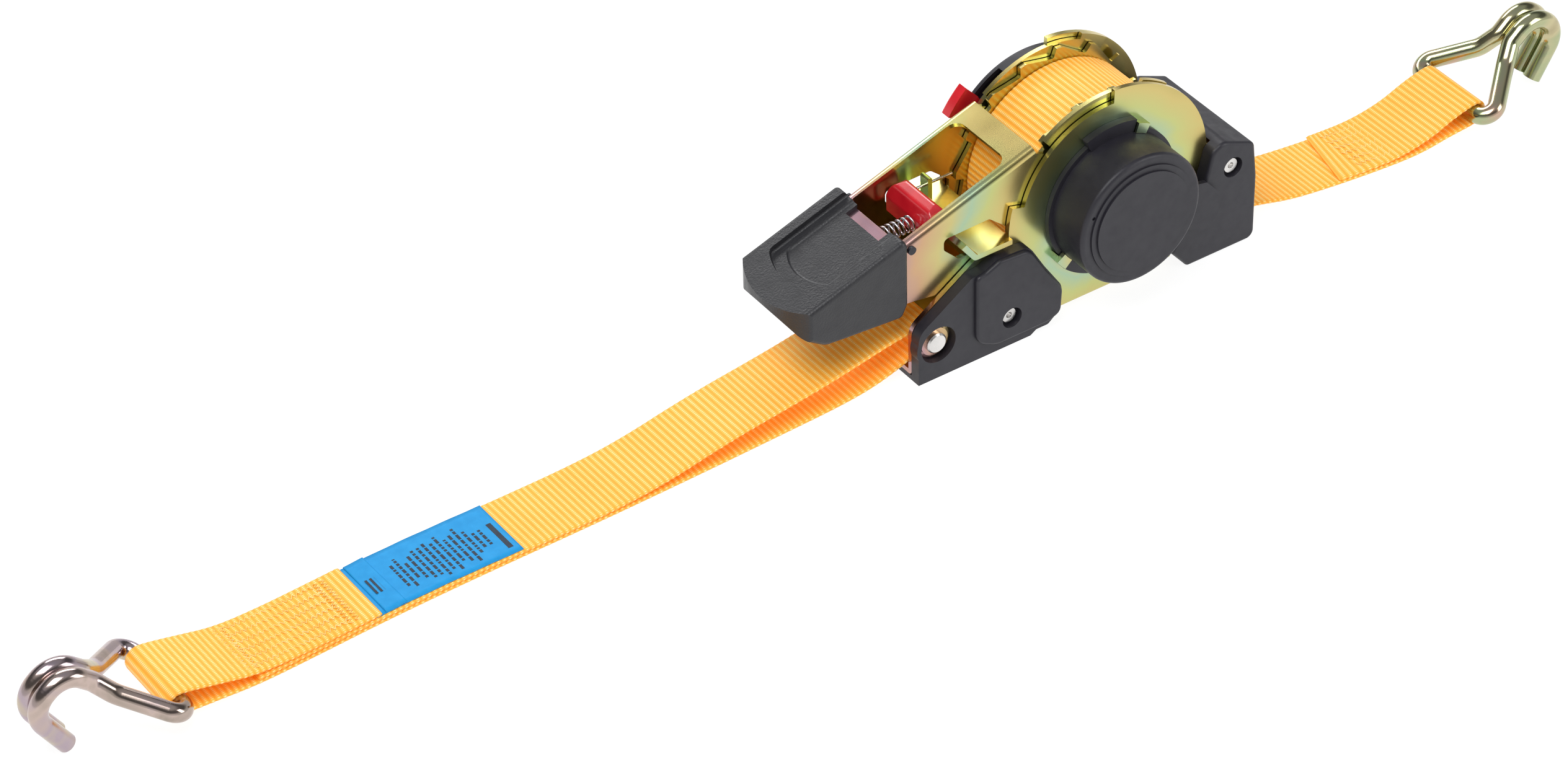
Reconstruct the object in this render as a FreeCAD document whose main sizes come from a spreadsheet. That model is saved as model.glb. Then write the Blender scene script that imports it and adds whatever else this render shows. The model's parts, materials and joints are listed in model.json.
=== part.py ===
"""Self-winding ratchet lashing strap, 25 mm webbing, as separate sub-parts.

Frame of the part, in millimetres: X runs along the strap towards the reel strap's hook, Y across
the webbing (the recoil drum is on the -Y side), Z up. The origin is straight below the anchor pin,
on the underside of the front guard, which is the surface that the ratchet body stands on.
"""
import FreeCAD, Part
import math
import os

Vec = FreeCAD.Vector

# ---------------------------------------------------------------- driving dimensions (mm, degrees)
SIZES = {
    "axle_x": 67.1,
    "axle_z": 38.0,
    "webbing_width": 25.0,
    "webbing_thick": 1.3,
    "roll_radius": 31.8,
    "mandrel_radius": 8.0,
    "mandrel_gap": 1.6,
    "bore_clearance": 0.06,
    "wheel_inner": 12.7,
    "wheel_outer": 14.15,
    "wheel_tip": 35.8,
    "wheel_root": 32.6,
    "tooth_count": 16,
    "handle_inner": 14.45,
    "handle_outer": 15.95,
    "handle_disc": 36.5,
    "handle_hub": 22.0,
    "handle_pitch": 18.4,
    "frame_inner": 16.25,
    "frame_outer": 17.85,
    "frame_cam": 33.4,
    "frame_disc": 38.05,
    "frame_floor": 1.8,
    "frame_sheet": 1.6,
    "guard_face": 21.6,
    "guard_bulge": 23.0,
    "rear_face": 22.6,
    "guard_wall": 1.7,
    "pawl_tip": 38.4,
    "pawl_sheet": 1.8,
    "pawl_reach": 20.2,
    "lock_angle": 225.2,
    "lock_sheet": 2.5,
    "lock_lifted": 36.4,
    "drum_radius": 22.8,
    "drum_face": 34.4,
    "anchor_x": -67.1,
    "anchor_z": 12.5,
    "anchor_radius": 3.5,
    "hook_wire": 3.0,
    "hook_left_x": -332.5,
    "hook_left_y": -10.0,
    "hook_right_x": 147.0,
    "hook_right_y": -7.8,
    "hook_bar_z": 7.0,
    "hook_pitch": 3.0,
    "rivet_seat": 20.2,
}

doc = FreeCAD.newDocument("ratchet_strap")
sheet = doc.addObject("Spreadsheet::Sheet", "Sizes")
for row, (alias, value) in enumerate(SIZES.items(), start=1):
    sheet.set("A%d" % row, alias)
    sheet.set("B%d" % row, str(value))
    sheet.setAlias("B%d" % row, alias)
doc.recompute()

PARTS = []
NEAR = -1
FAR = 1


def size(alias):
    """Value of one driving dimension, read back from the sheet."""
    return float(sheet.get(alias))


def axle(x, z):
    """Point of the XZ plane given relative to the axle's vertical plane and the ground."""
    return (x + size("axle_x"), z)


def around(radius, degrees):
    """Point of the XZ plane at a radius and angle about the axle."""
    turn = math.radians(degrees)
    return axle(radius * math.cos(turn), size("axle_z") + radius * math.sin(turn))


# ---------------------------------------------------------------- outlines
def flat(point):
    return Vec(point[0], point[1], 0)


def circle(centre, radius):
    return [Part.Circle(flat(centre), Vec(0, 0, 1), radius)]


def rounded(points):
    """Closed outline from (x, z) or (x, z, corner radius) points, as lines and tangent arcs."""
    corners = []
    count = len(points)
    for index, point in enumerate(points):
        here = flat(point)
        radius = point[2] if len(point) > 2 else 0.0
        if radius == 0.0:
            corners.append((here, None, here))
            continue
        back = (flat(points[index - 1]) - here).normalize()
        ahead = (flat(points[(index + 1) % count]) - here).normalize()
        half = back.getAngle(ahead) / 2
        reach = radius / math.tan(half)
        middle = (back + ahead).normalize() * (radius / math.sin(half))
        top = here + middle - (back + ahead).normalize() * radius
        corners.append((here + back * reach, top, here + ahead * reach))
    edges = []
    for index, (start, top, end) in enumerate(corners):
        if top is not None:
            edges.append(Part.Arc(start, top, end))
        following = corners[(index + 1) % count][0]
        if (following - end).Length > 1e-6:
            edges.append(Part.LineSegment(end, following))
    return edges


def sector(inner, outer, start, end):
    """Outline of a ring sector about the axle, from start to end degrees."""
    middle = (start + end) / 2
    a, b, c = (flat(around(inner, turn)) for turn in (start, middle, end))
    d, e, f = (flat(around(outer, turn)) for turn in (start, middle, end))
    return [Part.Arc(a, b, c), Part.LineSegment(c, f), Part.Arc(f, e, d), Part.LineSegment(d, a)]


def belt(first, first_radius, second, second_radius):
    """Outline of a belt round two circles, the first one on the right."""
    a, b = flat(first), flat(second)
    along = b - a
    swing = math.acos((first_radius - second_radius) / along.Length)
    heading = math.atan2(along.y, along.x)
    upper = Vec(math.cos(heading - swing), math.sin(heading - swing), 0)
    lower = Vec(math.cos(heading + swing), math.sin(heading + swing), 0)
    ahead = along.normalize()
    top_a, low_a = a + upper * first_radius, a + lower * first_radius
    top_b, low_b = b + upper * second_radius, b + lower * second_radius
    return [
        Part.Arc(top_a, a - ahead * first_radius, low_a),
        Part.LineSegment(low_a, low_b),
        Part.Arc(low_b, b + ahead * second_radius, top_b),
        Part.LineSegment(top_b, top_a),
    ]


# ---------------------------------------------------------------- bodies and features
def new_body(label):
    body = doc.addObject("PartDesign::Body", label)
    body.Label = label
    PARTS.append(body)
    return body


def sketch(body, role, offset, outlines):
    """Sketch on one of the body's origin planes, moved along the plane's normal by offset."""
    plane = [item for item in body.Origin.OriginFeatures if item.Role == role][0]
    item = body.newObject("Sketcher::SketchObject", "Outline")
    item.AttachmentSupport = [(plane, "")]
    item.MapMode = "FlatFace"
    item.AttachmentOffset = FreeCAD.Placement(Vec(0, 0, offset), FreeCAD.Rotation())
    for outline in outlines:
        item.addGeometry(outline, False)
    return item


def bind(item, name, value):
    """Set a feature's length to a number, or bind it to an expression on the sheet."""
    if isinstance(value, str):
        item.setExpression(name, value)
    else:
        setattr(item, name, value)


def slab(body, outlines, low, high, thick=None):
    """Pad outlines of the XZ plane between two Y positions."""
    item = sketch(body, "XZ_Plane", -high, outlines)
    pad = body.newObject("PartDesign::Pad", "Slab")
    pad.Profile = item
    bind(pad, "Length", thick if thick is not None else high - low)
    doc.recompute()
    return pad


def cut(body, outlines, low, high):
    """Pocket outlines of the XZ plane between two Y positions."""
    before = body.Shape.Volume
    item = sketch(body, "XZ_Plane", -high, outlines)
    pocket = body.newObject("PartDesign::Pocket", "Cut")
    pocket.Profile = item
    pocket.Length = high - low
    pocket.Reversed = True
    doc.recompute()
    if body.Shape.Volume >= before - 1e-6:
        raise RuntimeError("a pocket in %s cuts nothing" % body.Label)
    return pocket


def floor_slab(body, outlines, low, high):
    """Pad outlines of the XY plane between two heights."""
    item = sketch(body, "XY_Plane", low, outlines)
    pad = body.newObject("PartDesign::Pad", "Plate")
    pad.Profile = item
    pad.Length = high - low
    doc.recompute()
    return pad


def floor_cut(body, outlines, low, high):
    """Pocket outlines of the XY plane between two heights."""
    before = body.Shape.Volume
    item = sketch(body, "XY_Plane", low, outlines)
    pocket = body.newObject("PartDesign::Pocket", "Cut")
    pocket.Profile = item
    pocket.Length = high - low
    pocket.Reversed = True
    doc.recompute()
    if body.Shape.Volume >= before - 1e-6:
        raise RuntimeError("a pocket in %s cuts nothing" % body.Label)
    return pocket


def soften(body, kind, amount, wanted):
    """Fillet or chamfer the edges of the body that the test picks."""
    base = body.Tip
    names = []
    for index, edge in enumerate(base.Shape.Edges, start=1):
        if wanted(edge):
            names.append("Edge%d" % index)
    feature = body.newObject("PartDesign::" + kind, kind)
    feature.Base = (base, names)
    setattr(feature, "Radius" if kind == "Fillet" else "Size", amount)
    doc.recompute()
    if "Invalid" in feature.State or feature.Shape.isNull() or not names:
        raise RuntimeError("%s on %s failed" % (kind, body.Label))
    return feature


def on_plane(edge, axis, value):
    """True for an edge that lies wholly on the plane axis = value."""
    box = edge.BoundBox
    low = (box.XMin, box.YMin, box.ZMin)[axis]
    high = (box.XMax, box.YMax, box.ZMax)[axis]
    return abs(low - value) < 1e-3 and abs(high - value) < 1e-3


def solid(label, shape):
    """Sub-part whose shape is made with Part's own functions."""
    item = doc.addObject("Part::Feature", label)
    item.Label = label
    item.Shape = shape.removeSplitter() if len(shape.Solids) == 1 else shape
    PARTS.append(item)
    return item


def rod(points, radius, bends):
    """Round wire along straight runs joined by tangent arcs, one bend radius per inner point."""
    edges = []
    start = points[0]
    for index in range(1, len(points) - 1):
        here = points[index]
        back = (points[index - 1] - here).normalize()
        ahead = (points[index + 1] - here).normalize()
        half = back.getAngle(ahead) / 2
        bend = bends[index - 1]
        reach = bend / math.tan(half)
        arc_in = here + back * reach
        arc_out = here + ahead * reach
        inward = (back + ahead).normalize()
        top = here + inward * (bend / math.sin(half) - bend)
        edges.append(Part.LineSegment(start, arc_in).toShape())
        edges.append(Part.Arc(arc_in, top, arc_out).toShape())
        start = arc_out
    edges.append(Part.LineSegment(start, points[-1]).toShape())
    spine = Part.Wire(edges)
    heading = (points[1] - points[0]).normalize()
    profile = Part.Wire([Part.Circle(points[0], heading, radius).toShape()])
    return spine.makePipeShell([profile], True, True)


# ---------------------------------------------------------------- frame group
def lock_point(along, across):
    """Point given along and across the lock pawl's line of travel from the axle."""
    turn = math.radians(size("lock_angle"))
    x = along * math.cos(turn) - across * math.sin(turn)
    z = along * math.sin(turn) + across * math.cos(turn)
    return axle(x, size("axle_z") + z)


RIVETS = [(-40.3, 11.5), (45.1, 31.2)]
SPACER = (45.0, 15.0)
HOUSING_SCREWS = [(20.0, 53.0), (20.0, 23.0)]
TAB_ANGLES = [66.0, 219.0, 300.0]
FRAME_OUTLINE = [
    (-74.6, 1.8),
    (-74.6, 19.5, 6.0),
    (-49.2, 36.1, 1.0),
    (-34.0, 36.1),
    (0.0, 50.0),
    (36.0, 40.0),
    (40.6, 39.7, 2.0),
    (51.0, 34.9, 2.0),
    (51.6, 30.0),
    (51.6, 4.6, 2.0),
    (24.8, 4.6),
    (24.8, 1.8),
]


def shifted(points):
    """Outline points given from the axle, moved into the part's frame."""
    return [axle(point[0], point[1]) + tuple(point[2:]) for point in points]


def frame_channel():
    """U channel of zinc-plated sheet: two cam-edged side plates and the floor between them."""
    body = new_body("frame_channel")
    inner, outer = size("frame_inner"), size("frame_outer")
    thick = "Sizes.frame_outer - Sizes.frame_inner"
    cam, disc = size("frame_cam"), size("frame_disc")
    bore = size("mandrel_radius") + size("bore_clearance")
    floor_low = size("frame_floor")
    floor_high = floor_low + size("frame_sheet")
    base = [axle(-74.6, 0)[0], axle(24.8, 0)[0]]
    web = [(base[0], -outer), (base[1], -outer), (base[1], outer), (base[0], outer)]
    floor_slab(body, [rounded(web)], floor_low, floor_high)
    reach = 14.0
    for side in (NEAR, FAR):
        low, high = sorted((side * (size("wheel_inner") - 0.5), side * (size("wheel_outer") + 0.5)))
        left, right = size("axle_x") - reach, size("axle_x") + reach
        gap = [(left, low, 0.9), (right, low, 0.9), (right, high, 0.9), (left, high, 0.9)]
        floor_cut(body, [rounded(gap)], floor_low, floor_high)
    for side in (NEAR, FAR):
        low, high = sorted((side * inner, side * outer))
        slab(body, [rounded(shifted(FRAME_OUTLINE))], low, high, thick)
        slab(body, [circle(around(0, 0), cam)], low, high, thick)
        slab(body, [sector(10.0, disc, 164.5, 184.5)], low, high, thick)
        slab(body, [sector(10.0, disc, 1.0, 87.6)], low, high, thick)
        cut(body, [circle(around(0, 0), bore)], low, high)
        anchor = axle(size("anchor_x"), size("anchor_z"))
        cut(body, [circle(anchor, size("anchor_radius"))], low, high)
        half = size("lock_sheet") / 2 + 0.1
        corners = [(32.0, half), (46.0, half), (46.0, -half), (32.0, -half)]
        slot = [lock_point(*corner) for corner in corners]
        cut(body, [rounded(slot)], low, high)
        for hole in RIVETS + [SPACER]:
            cut(body, [circle(axle(*hole), 1.6)], low, high)
    for hole in HOUSING_SCREWS:
        cut(body, [circle(axle(*hole), 1.25)], inner, outer)
    for turn in TAB_ANGLES:
        post = sector(24.6, 26.4, turn - 5.2, turn + 5.2)
        lip = sector(22.95, 26.4, turn - 5.2, turn + 5.2)
        slab(body, [post], -20.0, -outer)
        slab(body, [lip], -21.4, -19.9)
    soften(body, "Fillet", 1.5, lambda edge: on_plane(edge, 2, floor_low) and edge.BoundBox.XLength > 50
           and abs(abs(edge.BoundBox.YMin) - outer) < 1e-3)
    return body


GUARD_OUTLINE = [
    (-74.6, 0.0, 0.6),
    (-74.6, 19.0, 6.0),
    (-54.6, 32.2, 3.0),
    (-50.0, 32.7, 3.0),
    (-45.0, 35.4, 3.0),
    (-33.0, 34.6, 5.0),
    (-27.2, 24.6, 6.0),
    (-20.4, 14.2, 5.0),
    (-21.0, 5.0, 3.0),
    (-25.5, 1.4, 1.5),
    (-30.0, 1.4, 1.0),
    (-32.2, 0.0, 1.0),
]
BULGE_OUTLINE = [
    (-53.6, 7.0, 6.0),
    (-53.6, 32.0, 2.0),
    (-50.0, 32.6, 3.0),
    (-44.6, 35.0, 3.0),
    (-33.2, 34.2, 5.0),
    (-27.6, 24.4, 6.0),
    (-20.8, 14.1, 5.0),
    (-21.4, 5.2, 3.0),
    (-25.7, 3.4, 1.5),
    (-46.0, 3.4, 8.0),
]
GUARD_HOLLOW = [
    (-72.8, 3.6, 1.0),
    (-72.8, 18.2, 5.0),
    (-54.0, 30.4, 2.0),
    (-49.6, 30.9, 2.0),
    (-44.6, 33.5, 2.0),
    (-34.2, 32.8, 3.0),
    (-28.8, 23.8, 5.0),
    (-22.2, 13.6, 4.0),
    (-22.8, 5.8, 2.0),
    (-26.0, 3.6, 1.0),
]
FAR_GUARD_END = -50.0


def front_guard():
    """Black moulded shoe over the front of the frame, with a raised pad over the lock pawl."""
    body = new_body("front_guard")
    start, face, bulge = size("frame_outer") + 0.05, size("guard_face"), size("guard_bulge")
    slab(body, [rounded(shifted(GUARD_OUTLINE))], -face, -start)
    slab(body, [rounded(shifted(BULGE_OUTLINE))], -bulge, -face)
    left, right = axle(-74.6, 0)[0], axle(-32.2, 0)[0]
    plate = [(left, -face), (right, -face), (right, face), (left, face)]
    floor_slab(body, [rounded(plate)], 0.0, size("frame_floor") - 0.05)
    far = [
        (-74.6, 0.0, 0.6),
        (-74.6, 19.0, 6.0),
        (-54.6, 32.2, 3.0),
        (FAR_GUARD_END, 32.7),
        (FAR_GUARD_END, 0.0),
    ]
    slab(body, [rounded(shifted(far))], start, face)
    cut(body, [rounded(shifted(GUARD_HOLLOW))], -face + size("guard_wall"), -start)
    inner_pad = [
        (-51.0, 8.0, 3.0),
        (-51.0, 29.6, 2.0),
        (-44.0, 31.6, 3.0),
        (-35.0, 31.0, 3.0),
        (-30.0, 23.0, 4.0),
        (-23.6, 13.0, 3.0),
        (-24.0, 6.4, 2.0),
        (-45.0, 6.4, 4.0),
    ]
    cut(body, [rounded(shifted(inner_pad))], -bulge + size("guard_wall"), -face + size("guard_wall"))
    far_hollow = [(-72.8, 3.6), (-72.8, 18.2, 5.0), (-54.0, 30.4), (-51.8, 30.6), (-51.8, 3.6)]
    cut(body, [rounded(shifted(far_hollow))], start, face - size("guard_wall"))
    anchor = axle(size("anchor_x"), size("anchor_z"))
    collar = circle(anchor, 8.0)
    slab(body, [collar], -face, -start)
    slab(body, [collar], start, face)
    cut(body, [circle(anchor, 6.4)], -face, face)
    rivet = axle(*RIVETS[0])
    slab(body, [circle(rivet, 4.8)], -bulge, -start)
    cut(body, [circle(rivet, 3.6)], -bulge, -size("rivet_seat"))
    cut(body, [circle(rivet, 1.6)], -bulge, -start)
    soften(body, "Fillet", 0.9, lambda edge: on_plane(edge, 1, -bulge) and edge.BoundBox.DiagonalLength > 2.0
           and not near_hole(edge, rivet))
    return body


def near_hole(edge, centre):
    """True for an edge within 7 mm of a point of the XZ plane."""
    middle = edge.BoundBox.Center
    return math.hypot(middle.x - centre[0], middle.z - centre[1]) < 7.0


REAR_OUTLINE = [
    (54.7, 0.0, 3.0),
    (54.9, 24.0),
    (53.6, 37.0, 2.5),
    (41.4, 42.2, 4.0),
    (36.9, 40.0, 3.5),
    (35.2, 33.0),
    (31.0, 22.0),
    (21.6, 8.0, 2.0),
    (28.3, 0.0, 1.5),
]


def rear_guard():
    """Black moulded hood over the back of the frame, with the slot that the webbing leaves by."""
    body = new_body("rear_guard")
    start, face, wall = size("frame_outer") + 0.05, size("rear_face"), size("guard_wall")
    for side in (NEAR, FAR):
        low, high = sorted((side * start, side * face))
        slab(body, [rounded(shifted(REAR_OUTLINE))], low, high)
        hollow = [
            (52.9, 3.4, 2.0),
            (53.1, 24.0),
            (52.0, 35.6, 1.5),
            (41.4, 40.2, 3.0),
            (38.6, 38.8, 2.0),
            (36.9, 32.6),
            (32.6, 21.2),
            (24.2, 8.4, 1.5),
            (29.0, 3.4, 1.0),
        ]
        low, high = sorted((side * start, side * (face - wall)))
        cut(body, [rounded(shifted(hollow))], low, high)
    hood = [
        (54.7, 3.0),
        (54.9, 24.0),
        (53.6, 37.0, 2.5),
        (41.4, 42.2, 4.0),
        (39.6, 41.0),
        (41.4, 40.0),
        (52.0, 35.4, 1.0),
        (53.1, 24.0),
        (53.0, 3.0),
    ]
    slab(body, [rounded(shifted(hood))], -face + wall, face - wall)
    sole = [(28.3, 0.0), (54.7, 0.0, 3.0), (54.7, 3.2), (53.0, 3.2), (51.8, 1.7), (28.3, 1.7)]
    slab(body, [rounded(shifted(sole))], -face + wall, face - wall)
    half = size("webbing_width") / 2 + 0.8
    inner, outer = axle(50.0, 0)[0], axle(58.0, 0)[0]
    slot = [(inner, -half), (outer, -half), (outer, half), (inner, half)]
    floor_cut(body, [rounded(slot)], 3.0, 9.0)
    rivet = axle(*RIVETS[1])
    for side in (NEAR, FAR):
        low, high = sorted((side * start, side * face))
        slab(body, [circle(rivet, 5.6)], low, high)
        low, high = sorted((side * size("rivet_seat"), side * face))
        cut(body, [circle(rivet, 3.6)], low, high)
        low, high = sorted((side * start, side * face))
        cut(body, [circle(rivet, 1.6)], low, high)
    soften(body, "Fillet", 1.2, lambda edge: (on_plane(edge, 1, -face) or on_plane(edge, 1, face))
           and not near_hole(edge, rivet))
    return body


def guard_rivets():
    """Three identical blind rivets with domed, pierced heads that hold the guards."""
    wall = size("rivet_seat") + 0.02
    inner = size("frame_inner") - 0.1
    shapes = []
    for spot, side in ((RIVETS[0], NEAR), (RIVETS[1], NEAR), (RIVETS[1], FAR)):
        x, z = axle(*spot)
        aim = Vec(0, side, 0)
        shank = Part.makeCylinder(1.6, wall - inner, Vec(x, side * inner, z), aim)
        head = Part.makeCone(3.1, 2.5, 1.1, Vec(x, side * wall, z), aim)
        pierced = Part.makeCone(0.5, 1.1, 1.4, Vec(x, side * (wall - 0.2), z), aim)
        shapes.append(shank.fuse(head).cut(pierced).removeSplitter())
    return solid("guard_rivets", Part.makeCompound(shapes))


def anchor_pin():
    """Peened pin across the channel that the fixed strap is looped round."""
    x, z = axle(size("anchor_x"), size("anchor_z"))
    radius, reach = size("anchor_radius"), size("guard_face") - 0.5
    aim = Vec(0, 1, 0)
    pin = Part.makeCylinder(radius, 2 * reach - 1.0, Vec(x, -reach + 0.5, z), aim)
    near = Part.makeCone(radius - 0.5, radius, 0.5, Vec(x, -reach, z), aim)
    far = Part.makeCone(radius, radius - 0.5, 0.5, Vec(x, reach - 0.5, z), aim)
    return solid("anchor_pin", pin.fuse([near, far]))


def anchor_washers():
    """Two identical stepped washers between the side plates and the pin's peened ends."""
    x, z = axle(size("anchor_x"), size("anchor_z"))
    start = size("frame_outer")
    shapes = []
    for side in (NEAR, FAR):
        aim = Vec(0, side, 0)
        flange = Part.makeCylinder(5.8, 0.9, Vec(x, side * start, z), aim)
        collar = Part.makeCylinder(4.9, 0.8, Vec(x, side * (start + 0.9), z), aim)
        hole = Part.makeCylinder(size("anchor_radius"), 4.0, Vec(x, side * (start - 1.0), z), aim)
        shapes.append(flange.fuse(collar).cut(hole))
    return solid("anchor_washers", Part.makeCompound(shapes))


def rear_spacer():
    """Tube that holds the two side plates apart behind the spool, above the webbing."""
    x, z = axle(*SPACER)
    inner = size("frame_inner")
    aim = Vec(0, 1, 0)
    tube = Part.makeCylinder(4.0, 2 * inner, Vec(x, -inner, z), aim)
    hole = Part.makeCylinder(1.6, 2 * inner, Vec(x, -inner, z), aim)
    return solid("rear_spacer", tube.cut(hole))


def rear_spacer_rivet():
    """Rivet through the spacer tube, headed on both side plates."""
    x, z = axle(*SPACER)
    outer = size("frame_outer")
    aim = Vec(0, 1, 0)
    shank = Part.makeCylinder(1.6, 2 * outer, Vec(x, -outer, z), aim)
    heads = [Part.makeCone(3.0, 2.0, 1.0, Vec(x, side * outer, z), Vec(0, side, 0)) for side in (NEAR, FAR)]
    return solid("rear_spacer_rivet", shank.fuse(heads))


def recoil_drum():
    """Black cup over the winding spring, with the bayonet flange that turns under the frame's tabs."""
    body = new_body("recoil_drum")
    start, face, radius = size("frame_outer") + 0.05, size("drum_face"), size("drum_radius")
    slab(body, [circle(around(0, 0), radius)], -face, -start)
    slab(body, [circle(around(0, 0), 24.3)], -19.6, -start)
    slab(body, [sector(15.0, 27.2, 71.8, 113.0)], -20.4, -start)
    slab(body, [sector(15.0, 26.6, 224.8, 262.0)], -20.4, -start)
    ear = [
        (20.0, 34.0),
        (33.4, 31.6, 2.0),
        (39.2, 24.8, 3.0),
        (38.0, 16.4, 2.0),
        (32.4, 13.2, 2.0),
        (16.0, 22.0),
    ]
    slab(body, [rounded(shifted(ear))], -24.4, -size("rear_face") - 0.2)
    slab(body, [circle(around(0, 0), 19.4)], -face - 0.5, -face)
    soften(body, "Fillet", 1.4, lambda edge: on_plane(edge, 1, -face)
           and edge.BoundBox.XLength > 2 * radius - 0.5)
    slab(body, [circle(around(0, 0), 17.4)], -face - 1.1, -face)
    cut(body, [circle(around(0, 0), radius - 1.7)], -face + 1.7, -start)
    cut(body, [circle(axle(-18.4, 46.4), 0.6)], -face - 0.6, -face + 0.5)
    return body


def drum_back_plate():
    """Steel disc that closes the drum and keeps the winding spring flat."""
    radius = size("drum_radius") - 1.8
    start = size("frame_outer") + 0.1
    x, z = around(0, 0)
    aim = Vec(0, -1, 0)
    disc = Part.makeCylinder(radius, 0.8, Vec(x, -start, z), aim)
    hole = Part.makeCylinder(8.6, 0.8, Vec(x, -start, z), aim)
    return solid("drum_back_plate", disc.cut(hole))


def winding_spring():
    """Flat spiral spring inside the drum, from the arbor's edge to the drum's wall."""
    turns, inner, pitch, thick = 6, 9.4, 1.8, 0.35
    x, z = around(0, 0)
    steps = 12
    points_in, points_out = [], []
    for step in range(turns * steps + 1):
        turn = 2 * math.pi * step / steps
        radius = inner + pitch * turn / (2 * math.pi)
        aim = Vec(math.cos(turn), 0, math.sin(turn))
        points_in.append(Vec(x, 0, z) + aim * radius)
        points_out.append(Vec(x, 0, z) + aim * (radius + thick))
    inside, outside = Part.BSplineCurve(), Part.BSplineCurve()
    inside.interpolate(points_in)
    outside.interpolate(points_out)
    ends = [Part.LineSegment(points_in[-1], points_out[-1]), Part.LineSegment(points_out[0], points_in[0])]
    edges = [inside.toShape(), ends[0].toShape(), outside.toShape(), ends[1].toShape()]
    face = Part.Face(Part.Wire(Part.sortEdges(edges)[0]))
    ribbon = face.extrude(Vec(0, -11.0, 0))
    ribbon.translate(Vec(0, -20.4, 0))
    return solid("winding_spring", ribbon)


def release_housing():
    """Black cap on the far side plate over the axle end, the release lever and the lock pawl."""
    body = new_body("release_housing")
    start, deep, wall = size("frame_outer") + 0.05, 25.4, 1.5
    lobe = [
        (-20.0, 46.0),
        (-37.5, 27.0, 5.0),
        (-43.5, 13.0, 4.0),
        (-43.5, 5.0, 3.0),
        (-38.0, 2.0, 2.0),
        (-22.0, 2.4, 3.0),
        (2.0, 10.0),
    ]
    slab(body, [circle(around(0, 0), 30.6)], start, deep)
    slab(body, [rounded(shifted(lobe))], start, deep)
    soften(body, "Fillet", 1.2, lambda edge: on_plane(edge, 1, deep))
    cut(body, [circle(around(0, 0), 30.6 - wall)], start, deep - wall)
    inner_lobe = [
        (-18.0, 44.0),
        (-36.0, 26.0, 4.0),
        (-42.0, 12.6, 3.0),
        (-42.0, 5.8, 2.0),
        (-37.6, 3.5, 1.0),
        (-22.2, 4.0, 2.0),
        (0.0, 12.0),
    ]
    cut(body, [rounded(shifted(inner_lobe))], start, deep - wall)
    cut(body, [sector(27.0, 33.0, 112.0, 154.0)], 20.4, 23.4)
    slab(body, [circle(around(0, 0), 10.8)], 20.6, deep - wall)
    cut(body, [circle(around(0, 0), 8.6)], 20.6, deep - wall)
    boss = [circle(axle(*spot), 2.6) for spot in HOUSING_SCREWS]
    for ring in boss:
        slab(body, [ring], start, deep - wall)
    for spot in HOUSING_SCREWS:
        cut(body, [circle(axle(*spot), 1.25)], start, deep)
    return body


def housing_screws():
    """Two identical pan-head screws that hold the release housing."""
    shapes = []
    for spot in HOUSING_SCREWS:
        x, z = axle(*spot)
        shank = Part.makeCylinder(1.2, 9.0, Vec(x, 16.4, z), Vec(0, 1, 0))
        head = Part.makeCylinder(2.4, 1.3, Vec(x, 25.4, z), Vec(0, 1, 0))
        slot = Part.makeBox(3.2, 0.7, 0.6, Vec(x - 1.6, 26.1, z - 0.3))
        shapes.append(shank.fuse(head.cut(slot)))
    return solid("housing_screws", Part.makeCompound(shapes))


# ---------------------------------------------------------------- handle group
def on_handle(along, lift):
    """Point of the XZ plane at a distance along the handle's top plate and above its face."""
    pitch = math.radians(size("handle_pitch"))
    x = -74.4 + along * math.cos(pitch) - lift * math.sin(pitch)
    z = 50.1 + along * math.sin(pitch) + lift * math.cos(pitch)
    return axle(x, z)


def handle_plate():
    """U-shaped handle stamping: two arms with hub rings, and a top plate with a large window."""
    body = new_body("handle_plate")
    inner, outer = size("handle_inner"), size("handle_outer")
    thick = "Sizes.handle_outer - Sizes.handle_inner"
    disc, hub = size("handle_disc"), size("handle_hub")
    bore = size("mandrel_radius") + size("bore_clearance")
    sheet_thick = outer - inner
    deep = 4.0
    top = [on_handle(-35.0, 0), on_handle(49.6, 0), on_handle(49.6, -deep), on_handle(-35.0, -deep)]
    slab(body, [rounded(top)], -outer, outer)
    soften(body, "Fillet", 2.2, handle_bend)
    room = [
        on_handle(-36.0, -sheet_thick),
        on_handle(50.6, -sheet_thick),
        on_handle(50.6, -deep - 1.0),
        on_handle(-36.0, -deep - 1.0),
    ]
    cut(body, [rounded(room)], -inner, inner)
    arm = [
        on_handle(-35.0, -2.4),
        on_handle(49.6, -2.4),
        axle(-10.0, 56.0),
        around(hub - 0.4, 262.0),
        axle(-72.0, 28.0) + (8.0,),
        axle(-101.0, 31.0) + (4.0,),
    ]
    for side in (NEAR, FAR):
        low, high = sorted((side * inner, side * outer))
        slab(body, [rounded(arm)], low, high, thick)
        slab(body, [circle(around(0, 0), hub)], low, high, thick)
        slab(body, [sector(12.0, disc, 56.0, 129.5)], low, high, thick)
        slab(body, [sector(12.0, 38.4, 53.0, 69.0)], low, high, thick)
        slot = [
            axle(-61.0, 46.2) + (1.6,),
            axle(-61.0, 42.2) + (1.6,),
            axle(-55.6, 36.75) + (1.0,),
            axle(-36.9, 36.75) + (1.0,),
            axle(-36.9, 40.4) + (1.0,),
            axle(-44.0, 46.6) + (2.0,),
        ]
        cut(body, [rounded(slot)], low, high)
        cut(body, [circle(around(0, 0), bore)], low, high)
    cut_window(body)
    return body


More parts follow.
